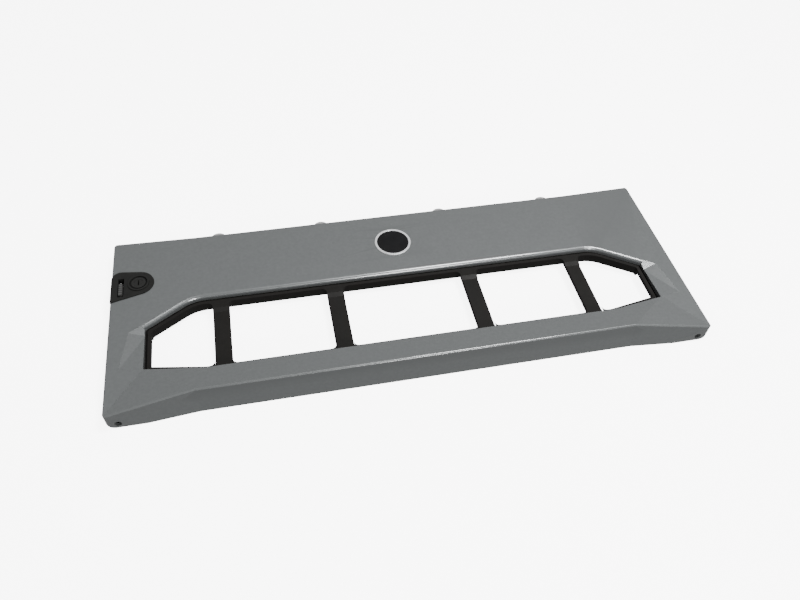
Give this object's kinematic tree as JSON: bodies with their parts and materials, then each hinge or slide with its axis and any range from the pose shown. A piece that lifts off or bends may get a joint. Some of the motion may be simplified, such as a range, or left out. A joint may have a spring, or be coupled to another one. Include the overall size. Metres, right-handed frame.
{
  "type": "server front bezel",
  "caption": "Front bezel for a four-unit rack server: grey moulded shell with a beam, open black grille, key lock and release latch.",
  "frame": {"origin": "centre of the bezel's outline on the plane of its rear rim, which it rests on", "axes": "+X along the width, +Y up the height of the front, +Z out of the face"},
  "size_m": [0.4826, 0.1784, 0.0238],
  "materials": {
    "painted_shell": "satin metallic grey paint on moulded plastic",
    "black_plastic": "fine-textured black moulding",
    "insert_plastic": "satin black moulding",
    "latch_plastic": "dark grey moulding",
    "badge_black": "smooth black",
    "bright_metal": "bright ring",
    "lock_metal": "dark plated",
    "steel": "plated steel",
    "zinc_sheet": "zinc-plated sheet",
    "clear_pads": "milky translucent plastic",
    "rubber": "black rubber"
  },
  "bodies": {
    "bezel": {"front_shell": "painted_shell", "grille_frame": "black_plastic", "badge_ring": "bright_metal", "badge_disc": "badge_black", "badge_nut": "steel", "lock_escutcheon": "insert_plastic", "latch_spring": "steel", "latch_cover": "black_plastic", "latch_screws": "steel", "lock_barrel": "lock_metal", "lock_nut": "steel", "backing_frame": "zinc_sheet", "backing_screws": "steel", "grille_screws": "steel", "hook_plate": "zinc_sheet", "hook_screws": "steel", "top_pads": "clear_pads", "rear_bumpers": "rubber"},
    "latch": {"release_latch": "latch_plastic", "latch_bolt": "steel"},
    "lock": {"lock_plug": "lock_metal", "lock_cam": "steel", "cam_screw": "steel"}
  },
  "joints": [
    {"name": "latch_slide", "type": "slide", "parent": "bezel", "child": "latch", "axis": [0, 1, 0], "range_m": [0, 0.006], "stiffness_N_per_m": 400, "springref_m": -0.004, "deforming": ["latch_spring"]},
    {"name": "lock_turn", "type": "hinge", "parent": "bezel", "child": "lock", "pos_m": [-0.219, 0.0379, 0.008], "axis": [0, 0, 1], "range_deg": [0, 90]}
  ]
}
